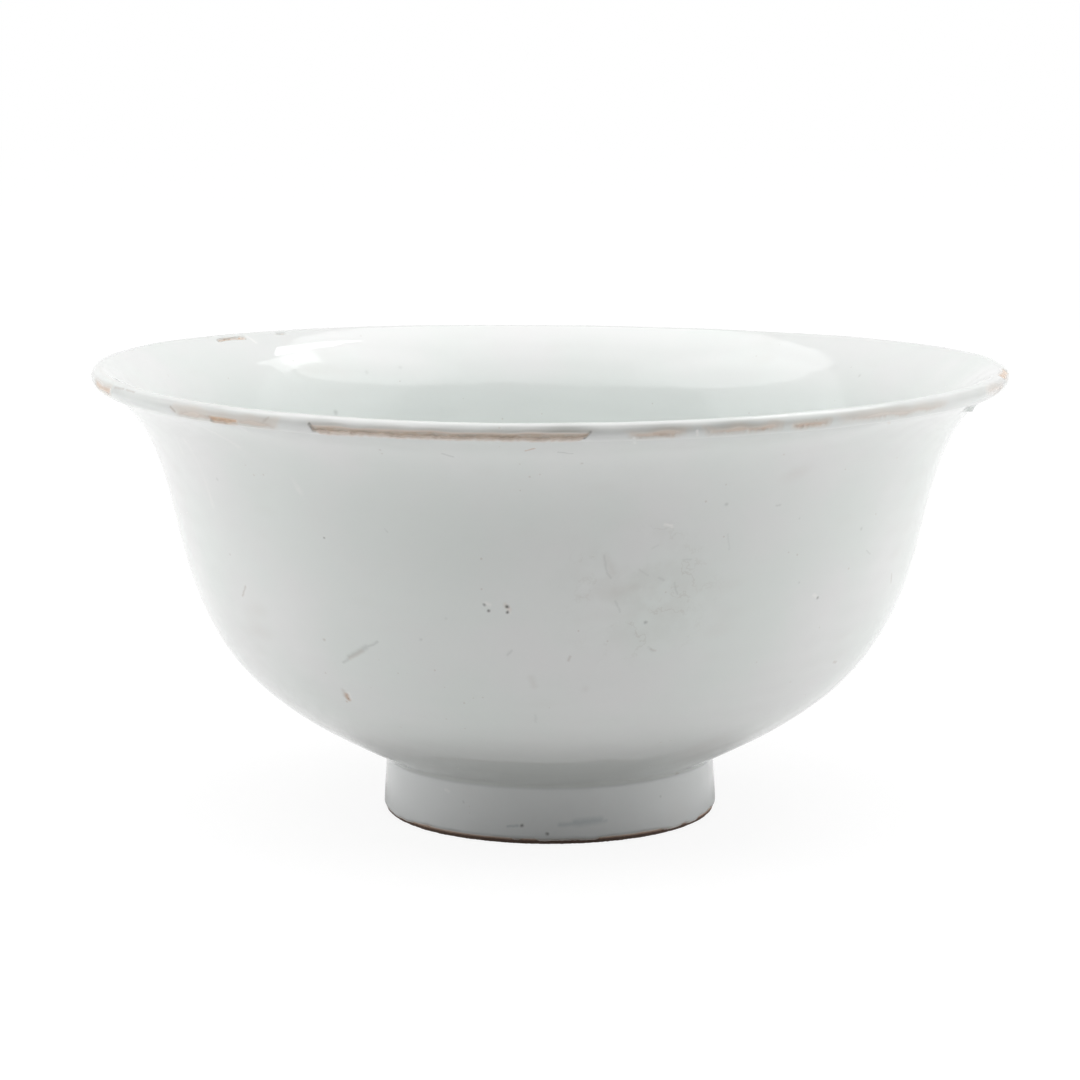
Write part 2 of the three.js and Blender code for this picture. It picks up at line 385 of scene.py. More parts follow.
def fresh_break(s, theta):
    """A sharp lower break and the 1.3 mm below it, where the clay shines up through the glaze."""
    glow = even(s, theta)
    for down, up, ends_in, _, wear, _, edge in patches(s, theta):
        within = eased(-0.2, 0.6 + 2 * edge, ends_in) * eased(0.4, 1.6, down)
        below = eased(-1.3, 0.1, up) * eased(0.5, 0.2, up)
        glow = np.maximum(glow, wear * eased(1.3, 0.3, edge) * below * within)
    return glow


def rusted(s, theta):
    """How orange each loss is, and a trace of tan along the crest at the left, where the lip is worn."""
    left = eased(math.radians(-72), math.radians(-100), theta) * eased(-math.pi, -2.8, theta)
    uneven = np.clip(0.7 + 0.4 * mottle(s, theta, 20, 36), 0, 1)
    rust = 0.3 * left * np.exp(-((over_lip(s) + 0.2) / 0.7) ** 2) * uneven
    for down, up, ends_in, _, _, share, edge in patches(s, theta):
        within = eased(-0.5, 0.1 + edge, np.minimum(down, up))
        rust = np.maximum(rust, share * (within * eased(-0.5, 0.1 + 3 * edge, ends_in)))
    return rust


def tanned(s, theta):
    """The clay at the foot of a flake was bared last and has kept its tan: 1 to 0.7 mm in, 0 from 2 mm."""
    tan = even(s, theta)
    waver = 0.5 * mottle(s, theta, 5.0, 34)
    for _, up, ends_in, *_ in patches(s, theta):
        tan = np.maximum(tan, eased(2.0, 0.7, up + waver) * eased(-0.3, 0.3, ends_in))
    return tan


# Partly painted shade: it darkens the band below the crest's highlight and, a quarter as much, the crest.
def thumbed(s, theta):
    """Greying of the lip, wear and painted shade: most from 2 to 3 mm down the outside, and at the front."""
    across = over_lip(s)
    turned = 0.3 + 0.55 * np.exp(-((theta - math.radians(-80)) / math.radians(14)) ** 2)
    uneven = 1 + 0.22 * mottle(s, theta, 14.0, 35)
    down = 0.25 * eased(-1.5, 0.5, across) + 0.75 * eased(1.3, 2.2, across)
    return np.clip(turned * uneven * down * eased(4.7, 3.2, across), 0, 1)


# %% [markdown]
# ## How deep the glaze lies
#
# The coat is about 0.6 mm deep, but it was a liquid once. It pools in the crease over the foot, follows the
# shallow rings that the potter's fingers left, and rounds off where it was wiped from the foot. A bead of
# grit fell on it in the kiln and stuck under the lip at the right, and the glaze climbs over it. One
# function gives the lift off the clay anywhere on the pot, so all five zones agree where they meet.

# %% The lift of the glaze and of the clay
RING_PITCH, RING_RELIEF = 7.5, 0.022  # mm from one throwing ring to the next, and mm that it stands proud
EDGE_WAVER, EDGE_RUN = 0.28, 0.9      # mm that the wiped edge wavers, and mm over which it rounds off
SUNK = -0.35                          # the lift of a coat's underside
GRIT_TURN, GRIT_AT = math.radians(-26.6), LIP_FROM - 2.6
GRIT_SIZE, GRIT_HEIGHT = 1.3, 1.3


def throwing_rings(s, theta):
    """cos of the way along in pitches plus one turn per turn, which is a spiral, faded at lip and foot."""
    phase = 2 * math.pi * s / RING_PITCH + theta + 1.3 * mottle(s, theta, 90, 41)
    outside = eased(crease_line + 30, crease_line + 60, s)
    outside = outside * (1 - eased(LIP_FROM - 14, LIP_FROM - 3, s))
    inside = eased(LIP_TO + 3, LIP_TO + 14, s)
    inside = inside * (1 - eased(AXIS_ABOVE - 30, AXIS_ABOVE - 8, s))
    return np.cos(phase) * (outside + inside)


def glaze_lift(s, theta):
    """Depth of the coat, less what has flaked, and a quarter round where it was wiped off the foot. The bead
    of kiln grit is a bell in the distance from its middle."""
    soft = 0.045 * mottle(s, theta, 34, 42) + 0.012 * mottle(s, theta, 9, 43)
    pooled = 0.22 * np.exp(-((s - crease_line) / 1.5) ** 2)
    whole = GLAZE + soft + pooled + RING_RELIEF * throwing_rings(s, theta)
    waver = EDGE_WAVER * (mottle(s, theta, 30, 44) + 0.5 * mottle(s, theta, 7, 45))
    past_line = np.where(s < (inner_line + outer_line) / 2, inner_line - s, s - outer_line) + waver
    edge = np.sqrt(1 - (1 - np.clip(past_line / EDGE_RUN, 0, 1)) ** 2)
    whole = BURIED + (whole - BURIED) * edge
    from_grit = (s - GRIT_AT) ** 2 + ((theta - GRIT_TURN) * RIM_RADIUS) ** 2
    whole = whole + GRIT_HEIGHT * np.exp(-from_grit / GRIT_SIZE**2)
    near_lip = np.max(s) > LIP_FROM - 3 and np.min(s) < LIP_TO + 3
    return whole + (BURIED - whole) * (flaked(s, theta) if near_lip else 0)


def clay_lift(s, theta):
    """The grain of wiped clay, a few hundredths of a millimetre."""
    return 0.02 * mottle(s, theta, 5, 51) + 0.02 * mottle(s, theta, 1.1, 52)


def underside(s, theta):
    return even(s, theta, SUNK)


# %% [markdown]
# ## The camera, and where a mark is
#
# The camera stands 0.91 m off, at the height that the two ellipses of rim and foot ask for. It comes before
# the finishes because the small marks are placed through it: each is named with the pixel of the photograph
# where it shows, and the mark goes on the skin of the pot that this pixel sees. So it lies on the glaze
# from any side.

# %% Camera
def put(name, data):
    """An object in the scene that shows a mesh, a lamp or a camera."""
    made = bpy.data.objects.new(name, data)
    bpy.context.scene.collection.objects.link(made)
    return made


CAMERA_BACK, CAMERA_UP, CAMERA_PITCH, CAMERA_LEFT = 907.4, 223.6, 9.30, 0.1716
PHOTO_WIDTH = 1080
lens = bpy.data.cameras.new("camera")
lens.lens, lens.sensor_width = 110.62, 36.0
camera = put("camera", lens)
camera.location = (0, -CAMERA_BACK * MM, CAMERA_UP * MM)
camera.rotation_euler = (math.radians(90 - CAMERA_PITCH), 0, math.radians(CAMERA_LEFT))
bpy.context.scene.camera = camera
bpy.context.scene.view_settings.view_transform = "Standard"


# %% From pixel to place
SKIN_STEP, SKIN_COLUMNS = 0.4, 1800  # mm between rows, and columns, of the points that a mark can go on


def pixels_of(points):
    """The photo's middle, plus the focal length in pixels times sideways or upward distance over depth."""
    x, y, z = (points - [0, -CAMERA_BACK, CAMERA_UP]).T
    turn, tilt = math.radians(CAMERA_LEFT), math.radians(CAMERA_PITCH)
    ahead = y * math.cos(turn) - x * math.sin(turn)
    side = x * math.cos(turn) + y * math.sin(turn)
    depth = ahead * math.cos(tilt) - z * math.sin(tilt)
    rise = ahead * math.sin(tilt) + z * math.cos(tilt)
    focal = PHOTO_WIDTH * lens.lens / lens.sensor_width
    return PHOTO_WIDTH / 2 + np.column_stack([side, -rise]) * focal / depth[:, None]


def facing_skin(low, high):
    """Points of an even glaze between two stations that face the camera, with their pixels."""
    rows, theta = np.arange(low, high, SKIN_STEP), full_turn(SKIN_COLUMNS)
    grids = band(rows, theta, lambda s, turn: even(s, turn, GLAZE))
    points, normals = (grid.reshape(-1, 3) for grid in grids)
    points = points[((np.array([0, -CAMERA_BACK, CAMERA_UP]) - points) * normals).sum(1) > 0]
    return points, pixels_of(points)


SKINS = {
    "outside": facing_skin(outer_line - 1, LIP_FROM + 0.5),
    "lip": facing_skin(LIP_FROM, LIP_TO + 2),
    "inside": facing_skin(LIP_TO, AXIS_ABOVE - 40),
}


def seen_at(zone, x, y):
    """The point of a zone's skin whose pixel is nearest to (x, y), in metres."""
    points, pixels = SKINS[zone]
    return Vector(points[np.argmin(((pixels - (x, y)) ** 2).sum(1))]) * MM


print("the pixel (550, 424) shows the lip at", [round(v / MM, 1) for v in seen_at("lip", 550, 424)], "mm")

# %% [markdown]
# ## Finishes
#
# Two kinds of material carry the pot, glaze and clay, and both read Object coordinates, so a patch of
# colour runs on from one zone to the next. A node tree is easier to read as a formula, so a small class
# lets a socket be added and multiplied like a number.

# %% Shader maths as Python
class Value:
    """A socket. Each operator on a number adds the Math node of its name."""

    def __init__(self, finish, socket):
        self.finish, self.socket = finish, socket

    def math(self, operation, *values):
        return self.finish.node("Math", {"operation": operation}, dict(enumerate(values)))

    def __add__(self, other):
        return self.math("ADD", self, other)

    def __sub__(self, other):
        return self.math("SUBTRACT", self, other)

    def __rsub__(self, other):
        return self.math("SUBTRACT", other, self)

    def __mul__(self, other):
        return self.math("MULTIPLY", self, other)

    __radd__, __rmul__ = __add__, __mul__

    def larger(self, other):
        return self.math("MAXIMUM", self, other)

    def step(self, low, high):
        """0 at low and 1 at high, eased at both ends. Low may be the larger of the two."""
        sockets = {"Value": self, "From Min": low, "From Max": high}
        return self.finish.node("MapRange", {"interpolation_type": "SMOOTHSTEP"}, sockets)

    def vector(self, operation, sockets, output=0):
        return self.finish.node("VectorMath", {"operation": operation}, {0: self, **sockets}, output)

    def from_point(self, point):
        """Distance from a place to a fixed point."""
        return self.vector("DISTANCE", {1: tuple(point)}, "Value")

    def from_stroke(self, a, b):
        """Distance to the segment from a to b, whose nearest point is a + t (b - a).
        Here t = (p - a).(b - a) / |b - a|^2, kept between 0 and 1."""
        way = b - a
        off = self.vector("SUBTRACT", {1: tuple(a)})
        share = off.vector("DOT_PRODUCT", {1: tuple(way / way.length_squared)}, "Value")
        share = self.finish.node("Clamp", None, {"Value": share, "Min": 0.0, "Max": 1.0})
        along = self.finish.node("VectorMath", {"operation": "SCALE"}, {0: tuple(way), "Scale": share})
        return off.vector("DISTANCE", {1: along}, "Value")


class Finish:
    """The node tree of a material or a world under construction."""

    def __init__(self, owner):
        owner.use_nodes = True
        self.owner, self.tree = owner, owner.node_tree
        self.tree.nodes.clear()

    def node(self, kind, settings=None, sockets=None, output=0):
        made = self.tree.nodes.new("ShaderNode" + kind)
        for key, value in (settings or {}).items():
            setattr(made, key, value)
        for key, value in (sockets or {}).items():
            if isinstance(value, Value):
                self.tree.links.new(value.socket, made.inputs[key])
            else:
                made.inputs[key].default_value = value
        return Value(self, made.outputs[output]) if len(made.outputs) else None

    def place(self):
        return self.node("TexCoord", output="Object")

    def layer(self, name):
        """A number that the mesh carries at each of its points."""
        return self.node("Attribute", {"attribute_name": name}, output="Fac")

    def noise(self, size, detail=2.0, roughness=0.5, w=0.0, output=0):
        """Cloudy noise whose blotches are about size millimetres across."""
        sockets = {"Vector": self.place(), "W": w, "Scale": 1 / (size * MM), "Detail": detail,
                   "Roughness": roughness}
        return self.node("TexNoise", {"noise_dimensions": "4D"}, sockets, output)

    def cells(self, size, output):
        """Cells about size millimetres across: the distance to the middle of one, or its random colour."""
        sockets = {"Vector": self.place(), "Scale": 1 / (size * MM)}
        return self.node("TexVoronoi", {"feature": "F1"}, sockets, output)

    def blend(self, share, below, above):
        """Colour: below where share is 0, above where it is 1."""
        below, above = ((*c, 1) if isinstance(c, tuple) else c for c in (below, above))
        return self.node("Mix", {"data_type": "RGBA"}, {0: share, 6: below, 7: above}, output=2)

    def surface(self, colour, roughness, height, depth):
        """The shader and the output. A height of 1 is bumped by depth millimetres."""
        bump = self.node("Bump", None, {"Height": height, "Distance": depth * MM, "Strength": 1.0})
        sockets = {"Base Color": colour, "Roughness": roughness, "Normal": bump}
        self.node("OutputMaterial", None, {"Surface": self.node("BsdfPrincipled", None, sockets)})
        return self.owner


# %% [markdown]
# ## Small marks
#
# The glaze has its history on it: pits where gas escaped, iron specks, a white nick, scratches and chips.
# Each is a short stroke between two pixels, with a width in millimetres, a tone and a strength, and a speck
# is a stroke that ends where it begins. A little noise added to the place makes their outlines uneven. The
# long pale strokes at the left are painted reflections in the glaze, and a few other strokes are painted
# highlights and painted shadow, as noted beside them.

# %% Where the marks are
TONES = {
    "pit_and_painted_shadow": (0.07, 0.065, 0.055), "brown": (0.36, 0.28, 0.22), "grey": (0.42, 0.44, 0.42),
    "rust": (0.55, 0.32, 0.18), "pale": (0.97, 0.96, 0.94), "blue": (0.36, 0.41, 0.43),
}
# Columns: pixel across and down where the stroke begins and ends, width in mm, strength
MARKS = {
    "outside": {
        "pale": [
            (486, 603, 490, 605, 1.0, 0.6), (509, 608, 510, 613, 1.0, 0.4), (664, 524, 671, 525, 0.8, 0.8),
            # The pale stroke from (962, 406) to (972, 401), beside a dark nick, is a painted highlight.
            (671, 525, 673, 528, 0.8, 0.8), (814, 595, 816, 596, 1.2, 0.6), (962, 406, 972, 401, 1.6, 0.6),
            (349, 693, 350, 698, 1.0, 0.5), (445, 790, 449, 792, 1.0, 0.3), (634, 440, 635, 443, 0.9, 0.5),
            # The pale strokes on this line and the next are painted reflections.
            (150, 412, 182, 452, 2.2, 0.3), (205, 428, 238, 447, 2.0, 0.3), (240, 428, 300, 492, 2.2, 0.3),
            (184, 440, 213, 505, 2.2, 0.25)],
        "rust": [
            (347, 695, 348, 699, 1.7, 0.8), (346, 701, 347, 702, 1.0, 0.4),
            (525, 450.5, 534, 448.5, 0.7, 0.5), (350, 658, 362, 651, 1.4, 0.16),
            (505, 605, 509, 610, 1.6, 0.2), (888, 420, 890, 424, 1.0, 0.2)],
        "brown": [
            (378, 450, 382, 450, 0.8, 0.4), (230, 554, 230, 555, 0.8, 0.3),
            (245.5, 587, 242.5, 596, 0.8, 0.3), (325, 639, 325, 639, 1.0, 0.35),
            (892, 574, 891, 583, 0.8, 0.3), (582, 464, 583, 464, 0.8, 0.3), (568, 661, 570, 656, 0.9, 0.28),
            (834, 662, 836, 662, 1.0, 0.3), (651, 648, 655, 651, 0.8, 0.2), (676, 773, 678, 773, 1.0, 0.6),
            (532, 678, 534, 686, 2.2, 0.1), (606, 556, 612, 572, 2.6, 0.09), (617, 592, 634, 588, 3.4, 0.07),
            (584, 688, 585, 690, 2.4, 0.08), (343, 690, 345, 697, 1.7, 0.25)],
        "grey": [
            (442, 454, 453, 457, 0.8, 0.35), (559, 452, 572, 454, 0.7, 0.35), (726, 504, 727, 505, 1.2, 0.45),
            (777, 506, 780, 506, 0.7, 0.3), (861, 528, 862, 529, 1.2, 0.35), (866, 550, 870, 553, 0.5, 0.25),
            (343, 662, 352, 656, 1.0, 0.34), (350, 657, 366, 648, 1.7, 0.4), (364, 649, 377, 642, 0.8, 0.36),
            (420, 639, 421, 640, 1.0, 0.3), (445, 618, 446, 619, 1.0, 0.2), (645, 622, 646, 623, 1.1, 0.75),
            (217, 478, 218, 480, 1.2, 0.25), (384, 529, 387, 532, 0.5, 0.25), (508, 655, 512, 651, 0.9, 0.25),
            (799, 582, 800, 583, 0.8, 0.3), (799, 519, 800, 519, 0.8, 0.25), (605, 556, 606, 572, 0.7, 0.22),
            (606, 572, 611, 578, 0.7, 0.25), (615, 602, 620, 611, 0.8, 0.25), (675, 582, 677, 594, 0.6, 0.25),
            (684, 560, 692, 559, 0.6, 0.2), (727, 535, 729, 549, 0.7, 0.15), (648, 647, 653, 651, 0.9, 0.18),
            (535, 715, 536, 722, 0.9, 0.15), (660, 796, 661, 797, 0.9, 0.5), (463, 801, 464, 803, 0.8, 0.4),
            (658, 577, 664, 580, 0.7, 0.2), (640, 570, 647, 575, 0.6, 0.16), (652, 548, 658, 545, 0.6, 0.15)],
        "blue": [
            (560, 825, 585, 822, 1.5, 0.42), (575, 823, 600, 820, 2.3, 0.5), (598, 821, 606, 821, 1.2, 0.3),
            (508, 826, 518, 826, 0.9, 0.5)],
        "pit_and_painted_shadow": [
            (484, 604.5, 484, 605, 0.9, 0.62), (489, 610, 489, 610, 1.0, 0.8),
            (506.7, 607, 506.7, 607, 1.15, 1), (506.7, 612.5, 507, 613, 1.0, 0.95),
            (325, 538, 325, 538, 0.75, 0.6), (817, 597.5, 818, 598, 1.0, 0.5),
            (348.5, 698, 348.5, 699, 0.7, 0.4), (970, 408.3, 970.5, 408, 4.0, 1.8),
            (522, 826, 522, 826, 1.2, 0.85), (547, 834, 547, 834, 1.1, 0.75)],
    },
    "lip": {
        "pale": [
            # The pale stroke at (697, 431) is a painted highlight.
            (697, 431, 697, 434, 0.8, 0.8), (634, 437, 635, 439, 0.9, 0.8)],
        "brown": [
            (115, 387.5, 124, 389.5, 0.8, 0.4), (126, 390.5, 135, 391.5, 0.7, 0.35),
            (175, 411, 171, 406, 0.8, 0.5), (261, 423, 268, 417, 0.8, 0.3), (203, 417, 212, 417, 0.8, 0.3),
            (993, 394.5, 1003, 386, 1.0, 0.6), (755, 430, 768, 429, 0.9, 0.35),
            (796, 427, 803, 426, 0.9, 0.4), (661, 434.5, 669, 434.5, 0.9, 0.45)],
        "grey": [
            (115, 357, 116, 358, 1.3, 0.45), (102, 366, 103, 366, 1.1, 0.5), (706, 429, 709, 432, 0.7, 0.3)],
        "rust": [
            (1002, 377, 1003, 372, 1.6, 0.4), (103, 389, 111, 395, 1.4, 0.3), (656, 434, 672, 435, 1.3, 0.25),
            (762, 429, 766, 429, 1.1, 0.3), (798, 426.5, 820, 424, 1.3, 0.3)],
        "pit_and_painted_shadow": [
            # The two slanted strokes on this line are painted shadow at the ends of the long flake.
            (308.5, 423, 314, 431, 0.8, 0.7), (590, 431.5, 584, 437.5, 0.8, 0.55),
            (1003, 366, 1003, 366, 0.9, 0.5)],
    },
    "inside": {
        "grey": [
            (335, 413, 336, 413, 1.8, 0.5), (366, 372, 368, 372, 1.6, 0.2), (400, 368, 401, 368, 1.4, 0.2),
            (277, 333, 284, 333, 1.2, 0.5), (859, 375, 860, 376, 1.2, 0.3)],
        "brown": [
            (219, 340, 230, 338, 1.4, 0.55), (230, 338, 244, 338, 1.0, 0.4)],
        "pale": [
            (462, 408, 556, 413, 9.0, 0.05), (247, 336, 256, 342, 1.3, 0.6)],
    },
}
print("marks:", {zone: sum(len(strokes) for strokes in tones.values()) for zone, tones in MARKS.items()})


# %% A colour with marks laid over it
WANDER = 0.7  # mm that the outline of a mark wanders


def marked(finish, colour, zone):
    """For each tone, the largest cover of its strokes. A stroke is densest along its middle."""
    unsure = finish.noise(1.6, detail=1, w=8, output="Color")
    moved = {0: unsure, 1: (WANDER * MM,) * 3, 2: finish.place()}
    place = finish.node("VectorMath", {"operation": "MULTIPLY_ADD"}, moved)
    place = place.vector("SUBTRACT", {1: (WANDER / 2 * MM,) * 3})
    for tone, strokes in MARKS[zone].items():
        cover = None
        for *pixels, width, strength in strokes:
            a, b = seen_at(zone, *pixels[:2]), seen_at(zone, *pixels[2:])
            off = place.from_stroke(a, b) if (b - a).length > MM else place.from_point((a + b) / 2)
            ink = off.step(0.75 * width * MM, -0.1 * width * MM) * strength
            cover = ink if cover is None else cover.larger(ink)
        colour = finish.blend(cover, colour, TONES[tone])
    return colour


# %% Bare clay and slip
# The last colour is dark for dirt and painted shade alike.
TAN, RUST, DIRT_AND_SHADE = (0.65, 0.56, 0.475), (0.66, 0.45, 0.29), (0.09, 0.055, 0.04)


def clay_finish(name, pale, dark, zone=None):
    """A clouded body, tan or rusty where the mesh says so, dark with dirt and painted shade at the foot of a
    break, dark with use and a painted contact shadow along the resting edge, and rubbed paler in places
    where it stands."""
    clay = Finish(bpy.data.materials.new(name))
    grain = clay.noise(0.5, detail=3, w=3)
    colour = clay.blend((clay.noise(9, detail=4) * 0.7 + grain * 0.5).step(0.3, 0.85), pale, dark)
    tan = clay.layer("tan") * clay.noise(2.5, detail=3, w=6).step(0.25, 0.55)
    colour = clay.blend(tan * 0.85, colour, TAN)
    colour = clay.blend(clay.layer("rust") * clay.noise(4, detail=3, w=7).step(0.25, 0.6), colour, RUST)
    # Dirt and painted shade in the corner at the foot of a break.
    colour = clay.blend(clay.layer("grime") * 0.26, colour, DIRT_AND_SHADE)
    height = clay.node("SeparateXYZ", None, {0: clay.place()}, output="Z")
    rubbed = height.step(0.35 * MM, 0.1 * MM) * clay.noise(5, detail=4, roughness=0.6, w=4).step(0.42, 0.62)
    # Dirt and painted contact shadow: darker below 1.7 mm, full below 1.15 mm, less where rubbed.
    resting_edge_dirt_and_shadow = (height + 0.4 * MM * grain).step(1.7 * MM, 1.15 * MM) * (0.95 - 0.5 * rubbed)
    colour = clay.blend(resting_edge_dirt_and_shadow, colour, DIRT_AND_SHADE)
    if zone:
        colour = marked(clay, colour, zone)
    return clay.surface(colour, 0.85 - 0.1 * grain, grain + 0.6 * clay.noise(1.6, detail=3, w=5), 0.05)


bowl_clay = clay_finish("bare clay of the bowl", (0.70, 0.675, 0.64), (0.63, 0.60, 0.56), "lip")
ring_clay = clay_finish("bare clay of the ring", (0.58, 0.44, 0.36), (0.42, 0.29, 0.22))
slip_clay = clay_finish("luting slip", (0.62, 0.45, 0.31), (0.46, 0.31, 0.21))

# %% [markdown]
# Tin glaze is a clear glaze made opaque by tin ash, so its white is a body colour under a smooth gloss.
# Thick glaze is greener, and deep inside the bowl the pooled green is also darker as painted shade. Worn
# thin, it goes grey, and at a broken edge the clay shines through it. Low on the wall it is greener too,
# and darker towards the foot as painted shade, and on the foot bluish grey from handling and darker
# still as painted shade under the belly. The mesh carries how much of each there is as layers of numbers.
# The crazing is the set of places where a cloudy noise is near its middle value, which gives wandering
# thin lines.

# %% Tin glaze
WHITE, GREENER, MAUVE = (0.845, 0.85, 0.842), (0.81, 0.845, 0.82), (0.835, 0.82, 0.825)
# Partly painted shade: the inside, low and foot colours are darker than the white, and so is the lip's grey.
POOLED_AND_SHADED, LOW_TINT_AND_SHADE, FOOT_GREY_AND_SHADE = (0.765, 0.805, 0.785), (0.765, 0.785, 0.758), (0.725, 0.74, 0.737)
WORN, THIN, THIN_RUSTY = (0.72, 0.70, 0.67), (0.73, 0.66, 0.60), (0.70, 0.51, 0.38)
BROKEN, WORN_AND_SHADED_LIP, STAINED = (0.72, 0.60, 0.51), (0.42, 0.425, 0.405), (0.74, 0.62, 0.52)
CRAZED_AT, CRAZED_COLOUR = seen_at("outside", 640, 590), (0.50, 0.47, 0.42)
PINHOLES_APART = 2.4  # mm between the places where one may be; about one place in twenty has it


def tin_glaze_finish(name, zone):
    glaze = Finish(bpy.data.materials.new(name))
    colour = glaze.blend(glaze.noise(38, detail=3).step(0.3, 0.65), WHITE, GREENER)
    colour = glaze.blend(glaze.noise(26, detail=2, w=9).step(0.45, 0.75) * 0.4, colour, MAUVE)
    # Partly painted shade: deep inside, the pooled green is also darker than the white.
    pooled = glaze.layer("inside") * (0.75 + 0.25 * glaze.noise(20, detail=2, w=6))
    colour = glaze.blend(pooled, colour, POOLED_AND_SHADED)
    # Partly painted shade: greener and darker low on the belly, most near the crease.
    colour = glaze.blend(glaze.layer("low down"), colour, LOW_TINT_AND_SHADE)
    # Partly painted shade: the foot's bluish grey is darker, as it would be under the belly.
    colour = glaze.blend(glaze.layer("foot") * (0.8 + 0.4 * glaze.noise(11, detail=3, w=13)), colour, FOOT_GREY_AND_SHADE)
    # Wear and painted shade: the lip's grey band under the crest's highlight.
    colour = glaze.blend(glaze.layer("thumbed"), colour, WORN_AND_SHADED_LIP)
    if zone == "outside":
        stained = glaze.place().from_point(CRAZED_AT).step(26 * MM, 6 * MM)
        stained = stained * glaze.noise(9, detail=4, roughness=0.6, w=12).step(0.42, 0.62)
        from_crack = glaze.noise(13, detail=5, roughness=0.6, w=21) - 0.5
        cracks = (from_crack * from_crack).step(0.00016, 0.00001)
        colour = glaze.blend(stained * (0.12 + 0.26 * cracks), colour, CRAZED_COLOUR)
    lot = glaze.node("SeparateColor", None, {0: glaze.cells(PINHOLES_APART, "Color")})
    pinholes = glaze.cells(PINHOLES_APART, "Distance").step(0.16, 0.08) * lot.step(0.955, 0.96)
    colour = glaze.blend(pinholes * 0.3, colour, TONES["brown"])
    depth = glaze.layer("glaze depth")
    colour = glaze.blend(depth.step(0.55, 0.3) * 0.9, colour, WORN)
    colour = glaze.blend(glaze.layer("rust") * (0.5 + 0.4 * glaze.noise(3, detail=3, w=7)), colour, STAINED)
    thin = glaze.blend(glaze.layer("rust"), THIN, THIN_RUSTY)
    colour = glaze.blend(depth.step(0.42, 0.06), colour, thin)
    colour = glaze.blend(glaze.layer("fresh break") * 0.8, colour, BROKEN)
    # Dirt and painted shade in the corner at the foot of a break.
    colour = glaze.blend(glaze.layer("grime") * 0.35, colour, TONES["brown"])
    if zone:
        colour = marked(glaze, colour, zone)
    gloss = 0.03 + 0.02 * glaze.noise(6, detail=3, w=4) + pinholes * 0.3 + depth.step(0.45, 0.2) * 0.35
    gloss = gloss + 0.25 * glaze.layer("thumbed")
    return glaze.surface(colour, gloss, glaze.noise(2.6, w=2) - pinholes * 2.0, 0.02)


GLAZES = {zone: tin_glaze_finish("tin glaze, " + zone, zone) for zone in MARKS}
GLAZES["recess"] = tin_glaze_finish("tin glaze, recess", None)

# %% [markdown]
# ## The pieces
#
# A grid of stations becomes a mesh of four-sided faces, closed round the axis. Every coat of glaze is a
# shell: its skin, then back along an underside that is sunk a little into the clay, so that no light gets
# between the two. Where a shell reaches the axis, its row shrinks to one point and a fan of triangles
# closes it. The lip has most of the stations, because the flakes are there.

# %% Make a mesh from bands
def shell(bands):
    """Vertices, normals and faces of bands stacked row on row, and which grid points they use."""
    points = np.concatenate([p for p, _ in bands])
    normals = np.concatenate([n for _, n in bands])
    rows, turns = points.shape[:2]
    index = np.arange(rows * turns).reshape(rows, turns)
    on_axis = np.abs(points[0, :, :2]).max() < 1e-6
    if on_axis:
        index[0], index[-1] = index[0, 0], index[-1, 0]
    else:
        index = np.vstack([index, index[:1]])
    here, there = index[:-1], index[1:]
    quads = np.stack([here, np.roll(here, -1, 1), np.roll(there, -1, 1), there], -1)
    used, renumbered = np.unique(quads, return_inverse=True)
    quads = renumbered.reshape(quads.shape)
    if on_axis:
        faces = (quads[0][:, [0, 2, 3]].tolist() + quads[1:-1].reshape(-1, 4).tolist()
                 + quads[-1][:, [0, 1, 3]].tolist())
    else:
        faces = quads.reshape(-1, 4).tolist()
    return points.reshape(-1, 3)[used], normals.reshape(-1, 3)[used], faces, used


def make_piece(name, points, normals, faces, material, slot, node, **layers):
    mesh = bpy.data.meshes.new(name)
    mesh.from_pydata(points * MM, [], faces)
    mesh.polygons.foreach_set("use_smooth", np.ones(len(faces), bool))
    mesh.normals_split_custom_set_from_vertices(normals)
    mesh.materials.append(material)
    for layer, values in layers.items():
        place = mesh.attributes.new(layer.replace("_", " "), "FLOAT", "POINT")
        place.data.foreach_set("value", np.ascontiguousarray(values, dtype=np.float32))
    piece = put(name, mesh)
    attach(piece, "root")
    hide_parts(node)
    triangles = sum(len(face) - 2 for face in faces)
    print("%s: %d triangles, z %.2f to %.2f mm" % (name, triangles, points[:, 2].min(), points[:, 2].max()))


# %% Coats of glaze
def coat(name, rows, under_rows, theta, node, zone):
    """The skin along the rows and the underside back along them, closed into one shell."""
    points, normals = band(rows, theta, glaze_lift)
    under_points, under_normals = band(under_rows, theta, underside)
    skin, under = (points, normals), (under_points[::-1], -under_normals[::-1])
    ends_on_axis = rows[-1] == AXIS_ABOVE
    points, normals, faces, used = shell([under, skin] if ends_on_axis else [skin, under])

    def layer(values):
        on_skin = np.broadcast_to(values, (len(rows), len(theta)))
        below = np.zeros((len(under_rows), len(theta)))
        return np.concatenate([below, on_skin] if ends_on_axis else [on_skin, below]).reshape(-1)[used]

    s, turn = rows[:, None], theta[None, :]

    def if_lip(measure):
        return layer(measure(s, turn) if zone == "lip" else 0.0)

    make_piece(name, points, normals, faces, GLAZES[zone], "tin_glaze", node,
               glaze_depth=layer(glaze_lift(s, turn)), grime=if_lip(grimed), rust=if_lip(rusted),
               fresh_break=if_lip(fresh_break), thumbed=if_lip(thumbed),
               inside=layer(eased(LIP_TO + 14, LIP_TO + 30, s)),
               low_down=layer(eased(crease_line + 55, crease_line + 1, s)),
               foot=layer(eased(crease_line + 0.5, crease_line - 1.5, s)))


